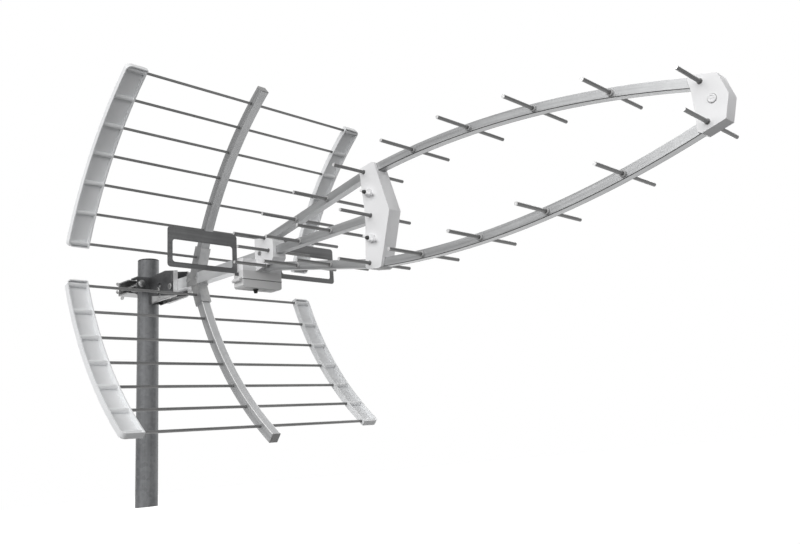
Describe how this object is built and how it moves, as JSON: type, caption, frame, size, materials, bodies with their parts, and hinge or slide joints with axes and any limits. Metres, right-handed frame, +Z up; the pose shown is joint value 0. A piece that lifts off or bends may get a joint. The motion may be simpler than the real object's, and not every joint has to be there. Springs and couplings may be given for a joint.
{
  "type": "outdoor tv antenna",
  "caption": "Directional aerial with a curved rod reflector, stamped dipole, bowed director booms and a tilting clamp on a stub of mast.",
  "frame": {"origin": "centre of the mast's lower end", "axes": "+Z up along the mast, +X the way the antenna points, -Y the side nearer the picture's camera"},
  "size_m": [1.3491, 0.535, 0.7495],
  "materials": {
    "galvanised_steel": "dull spangled galvanising",
    "zinc_steel": "zinc plated, satin",
    "bright_rod": "drawn rod, satin, cut ends bright",
    "aluminium": "brushed along its length",
    "white_plastic": "smooth moulding",
    "grey_plastic": "fine moulded texture",
    "strip_plastic": "slightly see-through moulding",
    "black_plastic": "matt",
    "board_resin": "glass-filled board",
    "nickelled_brass": "bright nickel plate"
  },
  "bodies": {
    "mast": {"mast_tube": "galvanised_steel", "mast_cap": "black_plastic"},
    "clamp": {"clamp_bracket": "zinc_steel", "clamp_jaw": "zinc_steel", "clamp_bolts": "zinc_steel"},
    "antenna": {"tilt_bolts": "zinc_steel", "tilt_nuts": "zinc_steel", "main_boom": "aluminium", "boom_end_plug": "black_plastic", "reflector_hub": "zinc_steel", "hub_rivets": "zinc_steel", "upper_spine": "aluminium", "lower_spine": "aluminium", "spine_plugs": "grey_plastic", "upper_strip_near": "strip_plastic", "upper_strip_far": "strip_plastic", "lower_strip_near": "strip_plastic", "lower_strip_far": "strip_plastic", "upper_rod_1": "bright_rod", "upper_rod_2": "bright_rod", "upper_rod_3": "bright_rod", "upper_rod_4": "bright_rod", "upper_rod_5": "bright_rod", "upper_rod_6": "bright_rod", "upper_rod_7": "bright_rod", "lower_rod_1": "bright_rod", "lower_rod_2": "bright_rod", "lower_rod_3": "bright_rod", "lower_rod_4": "bright_rod", "lower_rod_5": "bright_rod", "lower_rod_6": "bright_rod", "lower_rod_7": "bright_rod", "dipole_near": "aluminium", "dipole_far": "aluminium", "boom_holder": "white_plastic", "holder_screw": "zinc_steel", "dipole_box": "grey_plastic", "lid_hinge_pin": "zinc_steel", "circuit_board": "board_resin", "cable_socket": "nickelled_brass", "terminal_screws": "zinc_steel", "upper_rear_boom": "aluminium", "middle_rear_boom": "aluminium", "lower_rear_boom": "aluminium", "mid_bracket": "white_plastic", "bracket_bolts": "zinc_steel", "upper_front_boom": "aluminium", "lower_front_boom": "aluminium", "front_cap": "white_plastic", "cap_screw": "white_plastic", "rear_directors": "bright_rod", "upper_directors": "bright_rod", "lower_directors": "bright_rod", "director_clips": "white_plastic"},
    "lid": {"box_lid": "grey_plastic", "cable_gland": "black_plastic"},
    "near_wing_nut": {"clamp_wing_nut_near": "zinc_steel"},
    "far_wing_nut": {"clamp_wing_nut_far": "zinc_steel"},
    "upper_bracket_nut": {"bracket_wing_nut_upper": "white_plastic"},
    "lower_bracket_nut": {"bracket_wing_nut_lower": "white_plastic"}
  },
  "joints": [
    {"name": "mast_turn", "type": "hinge", "parent": "mast", "child": "clamp", "pos_m": [0, 0, 0.42], "axis": [0, 0, 1], "continuous": true},
    {"name": "tilt", "type": "hinge", "parent": "clamp", "child": "antenna", "pos_m": [0.108, 0, 0.4155], "axis": [0, -1, 0], "range_deg": [-15, 15]},
    {"name": "lid_hinge", "type": "hinge", "parent": "antenna", "child": "lid", "pos_m": [0.37, -0.0465, 0.3725], "axis": [-1, 0, 0], "range_deg": [0, 100]},
    {"name": "near_wing_nut_turn", "type": "hinge", "parent": "clamp", "child": "near_wing_nut", "pos_m": [-0.045, -0.032, 0.435], "axis": [1, 0, 0], "continuous": true},
    {"name": "far_wing_nut_turn", "type": "hinge", "parent": "clamp", "child": "far_wing_nut", "pos_m": [-0.045, 0.032, 0.435], "axis": [1, 0, 0], "continuous": true},
    {"name": "upper_bracket_nut_turn", "type": "hinge", "parent": "antenna", "child": "upper_bracket_nut", "pos_m": [0.68, -0.018, 0.458], "axis": [0, 1, 0], "continuous": true},
    {"name": "lower_bracket_nut_turn", "type": "hinge", "parent": "antenna", "child": "lower_bracket_nut", "pos_m": [0.68, -0.018, 0.382], "axis": [0, 1, 0], "continuous": true}
  ]
}
